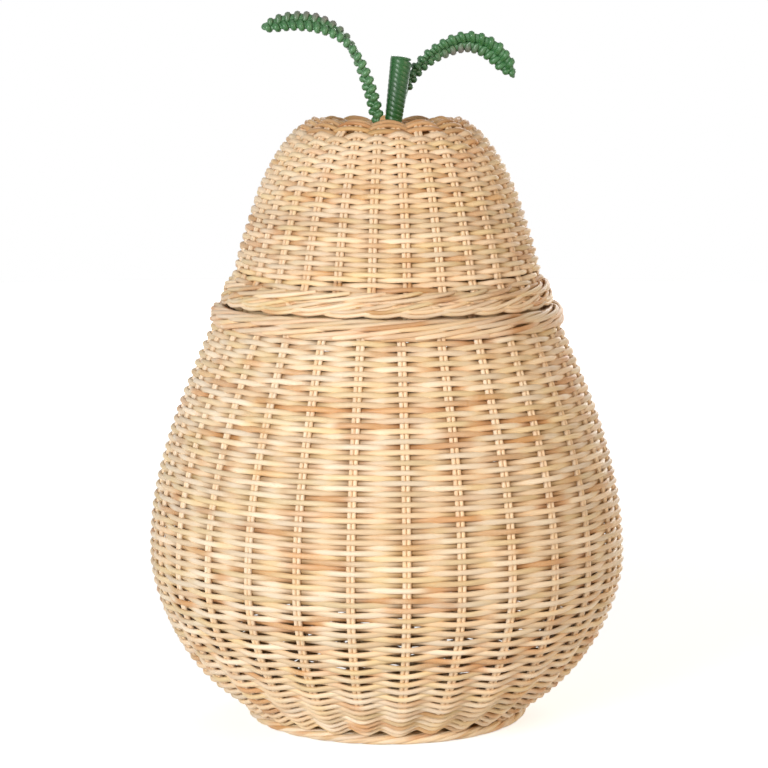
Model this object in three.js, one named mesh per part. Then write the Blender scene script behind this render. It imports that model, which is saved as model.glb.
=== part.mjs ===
// Pear-shaped rattan storage basket with a lift-off lid, a wound stalk and two woven leaves.
// Millimetres, +Z up. The origin is on the basket's axis, on the plane that it stands on.
// Every wall is built round pairs of upright canes: a pair runs up the middle of the wall, and the
// weave closes over it, so a wall is one cane pair plus a layer of weave on each side.
import * as THREE from "three";
import { mergeVertices } from "three/addons/utils/BufferGeometryUtils.js";

// Cane and the way it lies
const stakeCane = 3.6; // diameter of one upright cane
const weaverCane = 3.8; // diameter of the cane that is woven round them
const clearance = 0.3; // gap between touching pieces
const stakePairs = 28; // pairs of upright canes in the basket, and in the lid
const basketTurn = 4.5; // degrees from the front to the first pair of the basket
const lidTurn = 7.3; // degrees from the front to the first pair of the lid

// Mouth, and the seam between basket and lid
const seamHeight = 352;
const rimRadius = 147.3;

// Outer shape of the basket
const footRadius = 116;
const footWidth = 16;
const footHeight = 9.8;
const wallStart = 8; // height at which the outer surface of the wall meets the foot
const footSpread = 70.8; // how far the bottom curve first runs outwards
const footRise = 37;
const bellyRadius = 200;
const bellyHeight = 136;
const bellyDrop = 15; // upright stretch below the widest point
const bellyLift = 35; // upright stretch above it
const neckInset = 2.3; // how far the neck lies inside the rim
const neckDrop = 19; // and below the seam
const neckReach = 52.9; // how far the top curve leans outwards before the neck
const neckRun = 103.3;
const upsettLength = 55; // run of the fluted rows above the foot
const upsettStart = 8; // bare canes between the foot and those rows
const fluteDepth = 4;
const notchHeight = 5.5;
const footRound = 3.2; // bevel of the foot's rolled edge
const baseRound = 1.5;

// Rims of basket and lid
const rimRowsInset = 1.5; // from the rolled edge to the diagonal rows below it
const rimHeight = 8.7; // rolled edge above the canes
const rimBevel = 1.5;
const rimCrown = 4; // from the rim's outside to its flat top
const mouthBevel = 2.5;
const lidBorderInset = 6.3; // how far the lid's border lies inside the rim
const lidBorderHeight = 14;
const lidBorderWidth = 11.5;
const lidBorderRound = 3.5;
const collarDrop = 11; // how far the lid's collar reaches into the mouth
const lidRowsHeight = 10.7; // diagonal rows above the lid's border
const lidRowsFlare = 6.3;
const lidRowsDip = 0.5; // between two canes
const lidCaneInset = 2.1; // from the collar's outside to the canes' outer surface

// Outer shape of the lid
const lidFootInset = 21.9; // how far the lid's rows start inside the rim
const lidFootLean = 14.4;
const lidStraight = 0.767; // upright pull of the side's curve, as a share of the lid's height
const shoulderReach = 7.8;
const crestRadius = 61.5;
const crestHeight = 503.5;
const crownDip = 5; // the crown's middle lies lower than its crest
const hubRadius = 34;
const hubThickness = 7.2;
const hubArm = 0.72; // width of a bundle of canes at the hub's edge, as a share of its sector
const hubNotch = 0.93; // radius between two bundles, as a share of the hub's
const crownLean = 12; // level stretch at both ends of the crown's curve
const scallopDips = [0.3, 0.7, 1, 0.8, 0.4]; // shares of the scallops' depth, from the hub out
const crownWidth = 46; // run of the scalloped rows, from the hub over the crest
const forkRun = 28.5; // run at which four canes part into two pairs
const scallopDepth = 5;

// Wound stalk
const stalkFoot = 4.8; // distance from the axis, towards the right leaf
const stalkLean = 7.5; // degrees
const stalkRise = 49.2; // height of its top above the crest
const stalkRadius = 6.3;
const stalkTopRadius = 8.3;
const stalkHead = 3;
const stalkTail = 14; // length below the crown
const stalkKnot = 7; // radius of the bound end under the crown
const knotBevel = 2;
const headBevel = 0.8;
const windingCane = 3.2;
const windingTurns = 11.5;
const windingLow = 0.9; // height of its lower end above the hub
const windingBend = 2; // climb in which an end turns from straight into the coil
const windingBendTurn = 0.6; // and the angle it goes round there, in radians

// Woven leaves
const leafCane = 2.6; // cane that is woven round the frame
const leafRod = 2; // rod of the frame
const leafLift = 3.8; // how far the weave stands off the middle of the leaf
const rodShare = 0.6; // place of the rod, as a share of the weave's reach
const legLength = 9; // length below the crown
const legMargin = 0.2; // extra play of a leg in its hole
const rootTurnRun = 10; // run over which the leaf turns out of the plane of its legs
const leafTipRun = 2.5; // from the weave's end to the rod's bend
const leafBend = 1.6; // run in which an end of the weave turns into its first loop
const leafBendTurn = 0.35; // and the angle it goes round there, in radians
const leafLeft = {
  name: "leaf_left",
  // middle line of the leaf, from the crown to the tip: across, back, and up from the crest
  line: [
    [-8, 0, -3.5], [-9.8, 0, 6.5], [-14.5, 0, 23.5], [-23.5, 0, 46.5],
    [-37, 0, 66], [-54, 0, 75.5], [-76, 0, 78.5], [-99, 0, 73.5],
  ],
  loops: 16,
  bareRun: 8, // run of bare rods above the crown
  rootReach: 7.6,
  midReach: 11.5,
  rootRoll: 4, // degrees that the leaf is turned about its own line
  tipRoll: 20,
};
const leafRight = {
  name: "leaf_right",
  line: [
    [10.5, 17, -3.5], [12.5, 17, 8.5], [17.5, 17, 27.5], [27, 16, 41],
    [45, 14, 54.5], [69, 11, 61.5], [85, 9, 56], [97, 8, 44.5], [105, 7, 32.5],
  ],
  loops: 13,
  bareRun: 38,
  rootReach: 7.6,
  midReach: 11.5,
  rootRoll: -14,
  tipRoll: 22,
};

// Finishes
const rattan = new THREE.MeshStandardMaterial({ color: 0xe6c39c, roughness: 0.55, metalness: 0 });
const rattanUpright = new THREE.MeshStandardMaterial({ color: 0xeccda6, roughness: 0.5, metalness: 0 });
const greenCane = new THREE.MeshStandardMaterial({ color: 0x3c6e3c, roughness: 0.4, metalness: 0 });

const wall = stakeCane + 2 * weaverCane;
const stakeDepth = weaverCane + stakeCane / 2; // from the outer surface to the canes' middle
const pairHalf = stakeCane; // half the width of two canes side by side
const grooveHalf = pairHalf + clearance;
const grooveFloor = weaverCane + stakeCane + clearance;
const grooveCeiling = weaverCane - clearance;
const grooveDraft = 0.6; // extra half width at a groove's mouth
const radians = THREE.MathUtils.degToRad;
const pairStep = (2 * Math.PI) / stakePairs;
const groupCount = stakePairs / 2;
const groupStep = 2 * pairStep;
const crownPhase = radians(lidTurn) - pairStep / 2;

// Fineness of the round shapes
const ringSegments = 42;
const holeSegments = 7;
const stalkSides = 12;
const caneSides = 5;
const turnSteps = 10; // points in one turn of the stalk's winding
const loopSteps = 8; // points in one loop of a leaf's weave
const frameSteps = 34;

const model = new THREE.Group();

function addPiece(parent, name, geometry, material) {
  const mesh = new THREE.Mesh(geometry, material);
  mesh.name = name;
  parent.add(mesh);
  return mesh;
}

// Solids from rings of points

function signedVolume(points, index) {
  let sum = 0;
  const a = new THREE.Vector3();
  const b = new THREE.Vector3();
  for (let i = 0; i < index.length; i += 3) {
    a.copy(points[index[i]]);
    b.copy(points[index[i + 1]]);
    sum += a.dot(b.cross(points[index[i + 2]]));
  }
  return sum / 6;
}

function geometryOf(points, index) {
  const facing = signedVolume(points, index) < 0 ? index.reverse() : index;
  const geometry = new THREE.BufferGeometry();
  geometry.setFromPoints(points);
  geometry.setIndex(facing);
  return geometry;
}

// Joins rings of equal size, one after the other. A loop closes on its first ring, and an open
// run is closed by a flat end on each side.
function skin(rings, isLoop) {
  const size = rings[0].length;
  const index = [];
  const spans = isLoop ? rings.length : rings.length - 1;
  for (let i = 0; i < spans; i++) {
    const here = i * size;
    const next = ((i + 1) % rings.length) * size;
    for (let j = 0; j < size; j++) {
      const k = (j + 1) % size;
      index.push(here + j, next + j, next + k, here + j, next + k, here + k);
    }
  }
  if (!isLoop) {
    const last = (rings.length - 1) * size;
    for (let j = 1; j < size - 1; j++) {
      index.push(0, j, j + 1, last, last + j + 1, last + j);
    }
  }
  return geometryOf(rings.flat(), index);
}

// A round ring whose section is a closed outline of [radius, height] pairs.
function turned(outline, segments) {
  const points = outline.map(([radius, height]) => new THREE.Vector2(radius, height));
  points.push(points[0].clone());
  const geometry = new THREE.LatheGeometry(points, segments);
  geometry.rotateX(Math.PI / 2);
  geometry.deleteAttribute("normal");
  geometry.deleteAttribute("uv");
  const merged = mergeVertices(geometry, 1e-4);
  const position = merged.getAttribute("position");
  const vertices = [];
  for (let i = 0; i < position.count; i++) {
    vertices.push(new THREE.Vector3().fromBufferAttribute(position, i));
  }
  return geometryOf(vertices, whole(merged));
}

// Triangles of a merged mesh, without those that have shrunk to a line.
function whole(geometry) {
  const source = Array.from(geometry.getIndex().array);
  const index = [];
  for (let i = 0; i < source.length; i += 3) {
    const [a, b, c] = source.slice(i, i + 3);
    if (a !== b && b !== c && c !== a) index.push(a, b, c);
  }
  return index;
}

// A tube round a list of points, carried along without twist.
function tube(points, radius, sides) {
  const count = points.length;
  const tangents = points.map((point, i) => {
    const before = points[Math.max(i - 1, 0)];
    const after = points[Math.min(i + 1, count - 1)];
    return after.clone().sub(before).normalize();
  });
  const across = Math.abs(tangents[0].y) < 0.9 ? new THREE.Vector3(0, 1, 0) : new THREE.Vector3(1, 0, 0);
  let normal = across.sub(tangents[0].clone().multiplyScalar(across.dot(tangents[0]))).normalize();
  const turn = new THREE.Quaternion();
  const rings = points.map((point, i) => {
    if (i > 0) {
      turn.setFromUnitVectors(tangents[i - 1], tangents[i]);
      normal = normal.clone().applyQuaternion(turn);
    }
    const side = tangents[i].clone().cross(normal);
    return Array.from({ length: sides }, (_, j) => {
      const angle = (2 * Math.PI * j) / sides;
      return point
        .clone()
        .addScaledVector(normal, radius * Math.cos(angle))
        .addScaledVector(side, radius * Math.sin(angle));
    });
  });
  return skin(rings, false);
}

// The least gap that a wound cane keeps to itself, measured between points on its middle line.
function leastGap(points, diameter) {
  const run = [0];
  for (let i = 1; i < points.length; i++) {
    run.push(run[i - 1] + points[i].distanceTo(points[i - 1]));
  }
  let least = Infinity;
  for (let i = 0; i < points.length; i++) {
    for (let j = i + 1; j < points.length; j++) {
      if (run[j] - run[i] > 3 * diameter) {
        least = Math.min(least, points[i].distanceTo(points[j]) - diameter);
      }
    }
  }
  return least;
}

// Walls

function cubic(a, b, c, d) {
  const points = [a, b, c, d].map(([radius, height]) => new THREE.Vector2(radius, height));
  return new THREE.CubicBezierCurve(...points);
}

// A row is a place on the outer surface, with the direction out of the wall there.
function rowAt(path, run) {
  const share = run / path.getLength();
  const point = path.getPointAt(share);
  const tangent = path.getTangentAt(share);
  return { radius: point.x, height: point.y, out: tangent.y, up: -tangent.x };
}

function between(rowA, rowB, share) {
  const mix = (key) => rowA[key] + (rowB[key] - rowA[key]) * share;
  return { radius: mix("radius"), height: mix("height"), out: mix("out"), up: mix("up") };
}

function trimmed(rowA, rowB, length) {
  const run = Math.hypot(rowB.radius - rowA.radius, rowB.height - rowA.height);
  return between(rowA, rowB, length / run);
}

// The point at a row, some way into the wall (or out of it, where depth is negative), at an
// angle round the axis and a distance sideways from there.
function place(row, depth, angle, sideways = 0) {
  const radius = row.radius - row.out * depth;
  const height = row.height - row.up * depth;
  const x = Math.sin(angle) * radius + Math.cos(angle) * sideways;
  const y = -Math.cos(angle) * radius + Math.sin(angle) * sideways;
  return new THREE.Vector3(x, y, height);
}

// A band of weave whose canes lie in grooves that are open to the outside.
function outerGrooveBand(rows, insideRows, count, phase, half) {
  const step = (2 * Math.PI) / count;
  const rings = [];
  for (let i = 0; i < count; i++) {
    const angle = phase + i * step;
    const corners = [
      [-half - grooveDraft, 0], [-half, grooveFloor], [half, grooveFloor], [half + grooveDraft, 0],
    ];
    for (const [sideways, depth] of corners) {
      const outside = rows.map((row) => place(row, depth, angle, sideways));
      const inside = insideRows.map((row) => place(row, wall, angle, sideways)).reverse();
      rings.push([...outside, ...inside]);
    }
  }
  return skin(rings, true);
}

// The same point, moved round the ring until it lies the given distance beside its cane.
function beside(row, depth, angle, half) {
  return place(row, depth, angle + Math.asin(half / (row.radius - row.out * depth)));
}

// The point midway between two canes, on the straight line from one groove's edge to the next.
function midway(row, depth, angle, half, step) {
  const aside = Math.asin(half / (row.radius - row.out * depth));
  const radius = row.radius * Math.cos(step / 2 - aside);
  return place({ ...row, radius }, depth, angle + step / 2);
}

// A band of weave that closes over its canes: its outside swells over each of them, and the
// grooves that they lie in are open to the inside. Each list has one value for a row: the
// groove's half width, the depth of its ceiling, the dip between two swellings, how far the
// outside stands out, and how far the edge rises between two canes.
function innerGrooveBand(rows, count, phase, { halves, ceilings, dips, flares, lifts }) {
  const step = (2 * Math.PI) / count;
  const rings = [];
  for (let i = 0; i < count; i++) {
    const angle = phase + i * step;
    for (const side of [-1, 1]) {
      const outside = rows.map((row, r) => beside(row, -flares[r], angle, side * halves[r]));
      const inside = rows.map((row, r) => beside(row, ceilings[r], angle, side * halves[r]));
      rings.push([...outside, ...inside.reverse()]);
    }
    const raised = rows.map((row, r) => (lifts[r] > 0 ? trimmed(row, rows[r + 1], lifts[r]) : row));
    const outside = raised.map((row, r) => midway(row, dips[r] - flares[r], angle, halves[r], step));
    const inside = raised.map((row, r) => midway(row, wall, angle, halves[r], step)).reverse();
    rings.push([...outside, ...inside]);
  }
  return skin(rings, true);
}

// One pair of canes, seen as a flat band two canes wide, along a list of rows.
function canePair(rows, angle) {
  const rings = rows.map((row) => [
    place(row, weaverCane, angle, -pairHalf),
    place(row, weaverCane, angle, pairHalf),
    place(row, weaverCane + stakeCane, angle, pairHalf),
    place(row, weaverCane + stakeCane, angle, -pairHalf),
  ]);
  return skin(rings, false);
}

// Rows of the basket's wall, from the base to the rim
const neckRadius = rimRadius - neckInset;
const neckHeight = seamHeight - neckDrop;
const rimRowsRadius = rimRadius - rimRowsInset;
const basketPath = new THREE.CurvePath();
basketPath.add(cubic(
  [footRadius, wallStart],
  [footRadius + footSpread, wallStart + footRise],
  [bellyRadius, bellyHeight - bellyDrop],
  [bellyRadius, bellyHeight],
));
basketPath.add(cubic(
  [bellyRadius, bellyHeight],
  [bellyRadius, bellyHeight + bellyLift],
  [neckRadius + neckReach, neckHeight - neckRun],
  [neckRadius, neckHeight],
));
const baseRadius = footRadius - footWidth;
const baseHeight = footHeight - weaverCane + clearance; // underside of the base
const basketRun = basketPath.getLength();
const upsettEnd = upsettStart + upsettLength;
const sideSpans = 6;
const baseRow = { radius: baseRadius + clearance, height: baseHeight, out: 0, up: -1 };
const rimRowTop = seamHeight - clearance - rimHeight;
const rimRow = { radius: rimRowsRadius, height: rimRowTop, out: 1, up: 0 };
const upsettRows = [upsettStart, upsettStart + upsettLength / 2, upsettEnd].map((run) => {
  return rowAt(basketPath, run);
});
const sideRows = Array.from({ length: sideSpans + 1 }, (_, i) => {
  return rowAt(basketPath, upsettEnd + ((basketRun - upsettEnd) * i) / sideSpans);
});

// Basket
const basket = new THREE.Group();
model.add(basket);

function ringOutline(inner, outer, low, high, round) {
  return [
    [inner, low], [outer - round, low], [outer, low + round], [outer, high - round],
    [outer - round, high], [inner + round, high], [inner, high - round],
  ];
}

addPiece(basket, "foot_border", turned(
  ringOutline(baseRadius, footRadius, 0, footHeight, footRound),
  ringSegments,
), rattan);

// The outline of canes that cross in the middle, in as many bundles as there are groups.
function crossOutline(radius) {
  const corners = [];
  for (let i = 0; i < groupCount; i++) {
    for (const [share, side] of [[1, -hubArm / 2], [1, hubArm / 2], [hubNotch, 0.5]]) {
      const angle = (i + side) * groupStep;
      corners.push(new THREE.Vector2(Math.sin(angle), -Math.cos(angle)).multiplyScalar(radius * share));
    }
  }
  return new THREE.Shape(corners);
}

function crossPlate(holes, bottom) {
  const shape = crossOutline(hubRadius - clearance);
  shape.holes.push(...holes);
  const settings = { depth: hubThickness, bevelEnabled: false, curveSegments: holeSegments };
  const geometry = new THREE.ExtrudeGeometry(shape, settings);
  geometry.translate(0, 0, bottom);
  return geometry;
}

const baseMiddle = baseHeight + wall / 2;
addPiece(basket, "base_cross", crossPlate([], baseMiddle - hubThickness / 2), rattanUpright);
addPiece(basket, "base_weave", turned(
  ringOutline(hubRadius, baseRadius - clearance, baseHeight, baseHeight + wall, baseRound),
  ringSegments,
), rattan);

addPiece(basket, "upsett_weave", innerGrooveBand(upsettRows, stakePairs, radians(basketTurn), {
  halves: [grooveHalf, grooveHalf, grooveHalf],
  ceilings: [grooveCeiling, grooveCeiling, grooveCeiling],
  dips: [fluteDepth, fluteDepth, fluteDepth / 2],
  flares: [0, 0, 0],
  lifts: [notchHeight, 0, 0],
}), rattan);

const sideOutside = [trimmed(sideRows[0], sideRows[1], clearance), ...sideRows.slice(1)];
const sideInside = [sideOutside[0], ...sideRows.filter((_, i) => i > 0 && i % 2 === 0)];
addPiece(basket, "side_weave", outerGrooveBand(
  sideOutside, sideInside, stakePairs, radians(basketTurn), grooveHalf,
), rattan);

// The rim's diagonal rows close over the canes, and its rolled edge caps their ends.
function rimGeometry() {
  const low = trimmed(sideRows[sideSpans], rimRow, clearance);
  const step = pairStep;
  const top = seamHeight - clearance;
  const flat = (radius, height) => ({ radius, height, out: 0, up: 0 });
  const mouth = rimRowsRadius - wall;
  const edge = [
    flat(rimRadius, rimRow.height + rimHeight / 3),
    flat(rimRadius - rimBevel, top - rimBevel),
    flat(rimRadius - rimCrown, top),
    flat(mouth + mouthBevel, top),
    flat(mouth, top - mouthBevel),
  ];
  const rings = [];
  for (let i = 0; i < stakePairs; i++) {
    const angle = radians(basketTurn) + i * step;
    for (const side of [-grooveHalf, grooveHalf]) {
      rings.push([
        place(low, 0, angle, side),
        ...edge.map((row) => place(row, 0, angle, side)),
        place(rimRow, wall, angle, side).add(new THREE.Vector3(0, 0, clearance)),
        place(rimRow, grooveCeiling, angle, side).add(new THREE.Vector3(0, 0, clearance)),
        place(low, grooveCeiling, angle, side),
      ]);
    }
    rings.push([
      midway(low, 0, angle, grooveHalf, step),
      ...edge.map((row) => place(row, 0, angle + step / 2)),
      midway(rimRow, wall, angle, grooveHalf, step),
      midway(between(low, rimRow, 0.5), wall, angle, grooveHalf, step),
      midway(low, wall, angle, grooveHalf, step),
    ]);
  }
  return skin(rings, true);
}
addPiece(basket, "rim_border", rimGeometry(), rattan);

const pairRows = [baseRow, ...upsettRows.slice(0, 2), ...sideRows, rimRow];
for (let i = 0; i < stakePairs; i++) {
  const name = `stake_pair_${String(i + 1).padStart(2, "0")}`;
  addPiece(basket, name, canePair(pairRows, radians(basketTurn) + i * pairStep), rattanUpright);
}

// Rows of the lid's wall, from the hub over the crest and down to the collar
const lidBorderRadius = rimRadius - lidBorderInset;
const lidFootRadius = rimRadius - lidFootInset;
const collarTop = seamHeight + lidBorderHeight;
const lidFoot = collarTop + lidRowsHeight;
const lidPath = new THREE.CurvePath();
lidPath.add(cubic(
  [hubRadius, crestHeight - crownDip],
  [hubRadius + crownLean, crestHeight - crownDip],
  [crestRadius - crownLean, crestHeight],
  [crestRadius, crestHeight],
));
lidPath.add(cubic(
  [crestRadius, crestHeight],
  [crestRadius + shoulderReach, crestHeight],
  [lidFootRadius - lidFootLean, lidFoot + lidStraight * (crestHeight - lidFoot)],
  [lidFootRadius, lidFoot],
));

// The path runs outwards and down here, so the way out of the wall is turned round.
function lidRowAt(run) {
  const row = rowAt(lidPath, run);
  return { ...row, out: -row.out, up: -row.up };
}

const lidLength = lidPath.getLength();
const crownRows = [
  clearance, (clearance + forkRun) / 2, forkRun, (forkRun + crownWidth) / 2, crownWidth,
].map(lidRowAt);
const lidSpans = 4;
const lidRows = Array.from({ length: lidSpans + 1 }, (_, i) => {
  return lidRowAt(crownWidth + ((lidLength - crownWidth) * i) / lidSpans);
});
const collarOuter = lidBorderRadius - lidBorderWidth - clearance;
const collarRow = {
  radius: collarOuter - lidCaneInset,
  height: collarTop + clearance,
  out: 1,
  up: 0,
};

// The four canes of a group lie side by side over the crown, and part into two pairs.
const forkSpread = (row) => Math.asin(pairHalf / (row.radius - row.out * stakeDepth));
const crownSpread = [0, 0, forkSpread(crownRows[2]), 0, pairStep / 2];
crownSpread[3] = (crownSpread[2] + crownSpread[4]) / 2;

// The groove's half width where the two pairs have parted, and the depth of its flat ceiling,
// which clears both of them.
function crownHalf(row, spread) {
  const radius = row.radius - row.out * weaverCane;
  return radius * Math.sin(spread) + pairHalf + 2 * clearance;
}
function crownCeiling(row, spread) {
  const half = crownHalf(row, spread);
  const radius = row.radius - row.out * grooveCeiling;
  return grooveCeiling - (radius - Math.sqrt(radius ** 2 - half ** 2)) / row.out;
}
const trunkHalf = 2 * pairHalf + clearance;

// Lid
const lid = new THREE.Group();
model.add(lid);

addPiece(lid, "crown_weave", innerGrooveBand(crownRows, groupCount, crownPhase, {
  halves: [
    trunkHalf, trunkHalf, trunkHalf,
    crownHalf(crownRows[3], crownSpread[3]), crownHalf(crownRows[4], crownSpread[4]),
  ],
  ceilings: [
    grooveCeiling, grooveCeiling, grooveCeiling,
    crownCeiling(crownRows[3], crownSpread[3]), crownCeiling(crownRows[4], crownSpread[4]),
  ],
  dips: scallopDips.map((share) => share * scallopDepth),
  flares: [0, 0, 0, 0, 0],
  lifts: [0, 0, 0, 0, 0],
}), rattan);

const lidOutside = [trimmed(lidRows[0], lidRows[1], clearance), ...lidRows.slice(1)];
const lidInside = [lidOutside[0], ...lidRows.filter((_, i) => i > 0 && i % 2 === 0)];
addPiece(lid, "lid_weave", outerGrooveBand(
  lidOutside, lidInside, stakePairs, radians(lidTurn), grooveHalf,
), rattan);

const waleRows = [trimmed(lidRows[lidSpans], collarRow, clearance), collarRow];
addPiece(lid, "lid_wale", innerGrooveBand(waleRows, stakePairs, radians(lidTurn), {
  halves: [grooveHalf, grooveHalf],
  ceilings: [grooveCeiling, grooveCeiling],
  dips: [lidRowsDip, lidRowsDip],
  flares: [0, lidRowsFlare],
  lifts: [0, 0],
}), rattan);

addPiece(lid, "lid_border", turned(
  ringOutline(collarOuter + clearance, lidBorderRadius, seamHeight, collarTop, lidBorderRound),
  ringSegments,
), rattan);
addPiece(lid, "lid_collar", turned([
  [collarOuter - wall, seamHeight - collarDrop],
  [collarOuter, seamHeight - collarDrop],
  [collarOuter, collarTop],
  [collarOuter - wall, collarTop],
], ringSegments), rattan);

// A group of four canes over the crown, whose two pairs then run down the wall apart.
function forkedCanes(trunkRows, legRows, legSpreads, angle) {
  const points = [];
  const index = [];
  const corner = (row, depth, turn, sideways) => points.push(place(row, depth, turn, sideways)) - 1;
  const depths = [weaverCane, weaverCane + stakeCane];
  const trunk = trunkRows.map((row) => {
    return depths.map((depth) => [-2, 0, 2].map((n) => corner(row, depth, angle, n * pairHalf)));
  });
  const quad = (a, b, c, d) => index.push(a, b, c, a, c, d);
  // Joins two sections, each a list of corners in order round the canes.
  const join = (from, to) => {
    for (let i = 0; i < from.length; i++) {
      const k = (i + 1) % from.length;
      quad(from[i], to[i], to[k], from[k]);
    }
  };
  const around = ([upper, lower]) => [...upper, ...[...lower].reverse()];
  for (let i = 0; i < trunk.length - 1; i++) {
    join(around(trunk[i]), around(trunk[i + 1]));
  }
  const [firstUpper, firstLower] = trunk[0];
  quad(firstUpper[0], firstUpper[1], firstLower[1], firstLower[0]);
  quad(firstUpper[1], firstUpper[2], firstLower[2], firstLower[1]);
  const [upper, lower] = trunk[trunk.length - 1];
  for (const side of [-1, 1]) {
    const [near, far] = side < 0 ? [0, 1] : [1, 2];
    let section = [upper[near], upper[far], lower[far], lower[near]];
    legRows.forEach((row, i) => {
      const turn = angle + side * legSpreads[i];
      const next = [
        corner(row, depths[0], turn, -pairHalf), corner(row, depths[0], turn, pairHalf),
        corner(row, depths[1], turn, pairHalf), corner(row, depths[1], turn, -pairHalf),
      ];
      join(section, next);
      section = next;
    });
    quad(section[3], section[2], section[1], section[0]);
  }
  return geometryOf(points, index);
}

const legRows = [...crownRows.slice(3), ...lidRows.slice(1), collarRow];
const legSpreads = [...crownSpread.slice(3), ...legRows.slice(2).map(() => pairStep / 2)];
for (let i = 0; i < groupCount; i++) {
  const name = `lid_stakes_${String(i + 1).padStart(2, "0")}`;
  const angle = crownPhase + i * groupStep;
  const canes = forkedCanes(crownRows.slice(0, 3), legRows, legSpreads, angle);
  addPiece(lid, name, canes, rattanUpright);
}

// Stalk: a flared core with a flat head, and one cane wound round it
const hubMiddle = crestHeight - crownDip - stakeDepth;
const hubTop = hubMiddle + hubThickness / 2;
const hubBottom = hubMiddle - hubThickness / 2;
const stalk = new THREE.Group();
stalk.position.set(stalkFoot, 0, hubTop);
stalk.rotation.y = radians(stalkLean);
lid.add(stalk);

const stalkLength = (crestHeight + stalkRise - hubTop) / Math.cos(radians(stalkLean));
const windingHigh = stalkLength - stalkHead - clearance;
const bodyLength = windingHigh - windingLow;
const coilRadiusAt = (height) => {
  const share = (height - windingLow) / bodyLength;
  return stalkRadius + (stalkTopRadius - stalkRadius) * share - windingCane / 2;
};
const coreRadiusAt = (height) => {
  return coilRadiusAt(height) * Math.cos(Math.PI / turnSteps) - windingCane / 2 - clearance;
};

const coreFootRadius = coreRadiusAt(windingLow);
const coreNeckRadius = coreRadiusAt(windingHigh);
const knotTop = hubBottom - hubTop - clearance - stalkKnot * Math.tan(radians(stalkLean));
addPiece(stalk, "stalk_core", turned([
  [0, -hubThickness - stalkTail],
  [stalkKnot - knotBevel, -hubThickness - stalkTail],
  [stalkKnot, -hubThickness - stalkTail + knotBevel],
  [stalkKnot, knotTop],
  [coreFootRadius, knotTop],
  [coreFootRadius, windingLow],
  [coreNeckRadius, windingHigh],
  [stalkTopRadius, windingHigh + clearance],
  [stalkTopRadius, stalkLength - headBevel],
  [stalkTopRadius - headBevel, stalkLength],
  [0, stalkLength],
], stalkSides), greenCane);

// The winding climbs one pitch a turn. Each end turns out of the coil in a short bend and runs
// straight, along the stalk, for one cane diameter: the lower one down to the crown, the upper
// one up to the head.
function stalkWinding() {
  const low = windingLow + windingCane;
  const high = windingHigh - windingCane;
  const coilLow = low + windingBend;
  const coilHigh = high - windingBend;
  const turns = windingTurns * 2 * Math.PI;
  const stations = [[0, windingLow]];
  for (const share of [0, 0.5]) {
    stations.push([windingBendTurn * share ** 2, low + windingBend * share * (2 - share)]);
  }
  const steps = windingTurns * turnSteps;
  for (let i = 0; i <= steps; i++) {
    const share = i / steps;
    stations.push([
      windingBendTurn + (turns - 2 * windingBendTurn) * share,
      coilLow + (coilHigh - coilLow) * share,
    ]);
  }
  for (const share of [0.5, 0]) {
    stations.push([turns - windingBendTurn * share ** 2, high - windingBend * share * (2 - share)]);
  }
  stations.push([turns, windingHigh]);
  return stations.map(([angle, height]) => {
    const radius = coilRadiusAt(height);
    return new THREE.Vector3(-radius * Math.cos(angle), radius * Math.sin(angle), height);
  });
}
const windingPoints = stalkWinding();
console.log(`stalk_winding: least gap to itself ${leastGap(windingPoints, windingCane).toFixed(2)} mm`);
addPiece(stalk, "stalk_winding", tube(windingPoints, windingCane / 2, caneSides), greenCane);

// Leaves: a frame bent from one rod like a hairpin, and one cane woven round its two sides in a
// figure of eight
function leafShape(leaf) {
  const root = leaf.line[0];
  const below = [root[0], root[1], hubBottom - legLength];
  const middle = leaf.line.map(([x, y, z]) => [x, y, crestHeight + z]);
  const points = [below, ...middle].map(([x, y, z]) => new THREE.Vector3(x, y, z));
  const line = new THREE.CatmullRomCurve3(points, false, "centripetal");
  const length = line.getLength();
  const start = hubTop - below[2] + leaf.bareRun;
  const end = length - leafRod - leafCane - leafTipRun;
  const reachAt = (run) => {
    const share = THREE.MathUtils.clamp((run - start) / (end - start), 0, 1);
    return leaf.rootReach + (leaf.midReach - leaf.rootReach) * Math.sin(Math.PI * share) ** 0.8;
  };
  const frameAt = (run) => {
    const share = THREE.MathUtils.clamp(run / length, 0, 1);
    const along = line.getTangentAt(share);
    const roll = radians(leaf.rootRoll + (leaf.tipRoll - leaf.rootRoll) * share) *
      THREE.MathUtils.smoothstep(run, start - leaf.bareRun, start + rootTurnRun);
    const flat = new THREE.Vector3(0, 1, 0);
    flat.addScaledVector(along, -flat.dot(along)).normalize();
    const out = along.clone().cross(flat);
    const across = flat.clone().multiplyScalar(Math.cos(roll)).addScaledVector(out, Math.sin(roll));
    return { point: line.getPointAt(share), along, across, out: along.clone().cross(across) };
  };
  const at = (run, sideways, off) => {
    const frame = frameAt(run);
    return frame.point.addScaledVector(frame.across, sideways).addScaledVector(frame.out, off);
  };
  return { at, reachAt, start, end, length };
}

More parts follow.
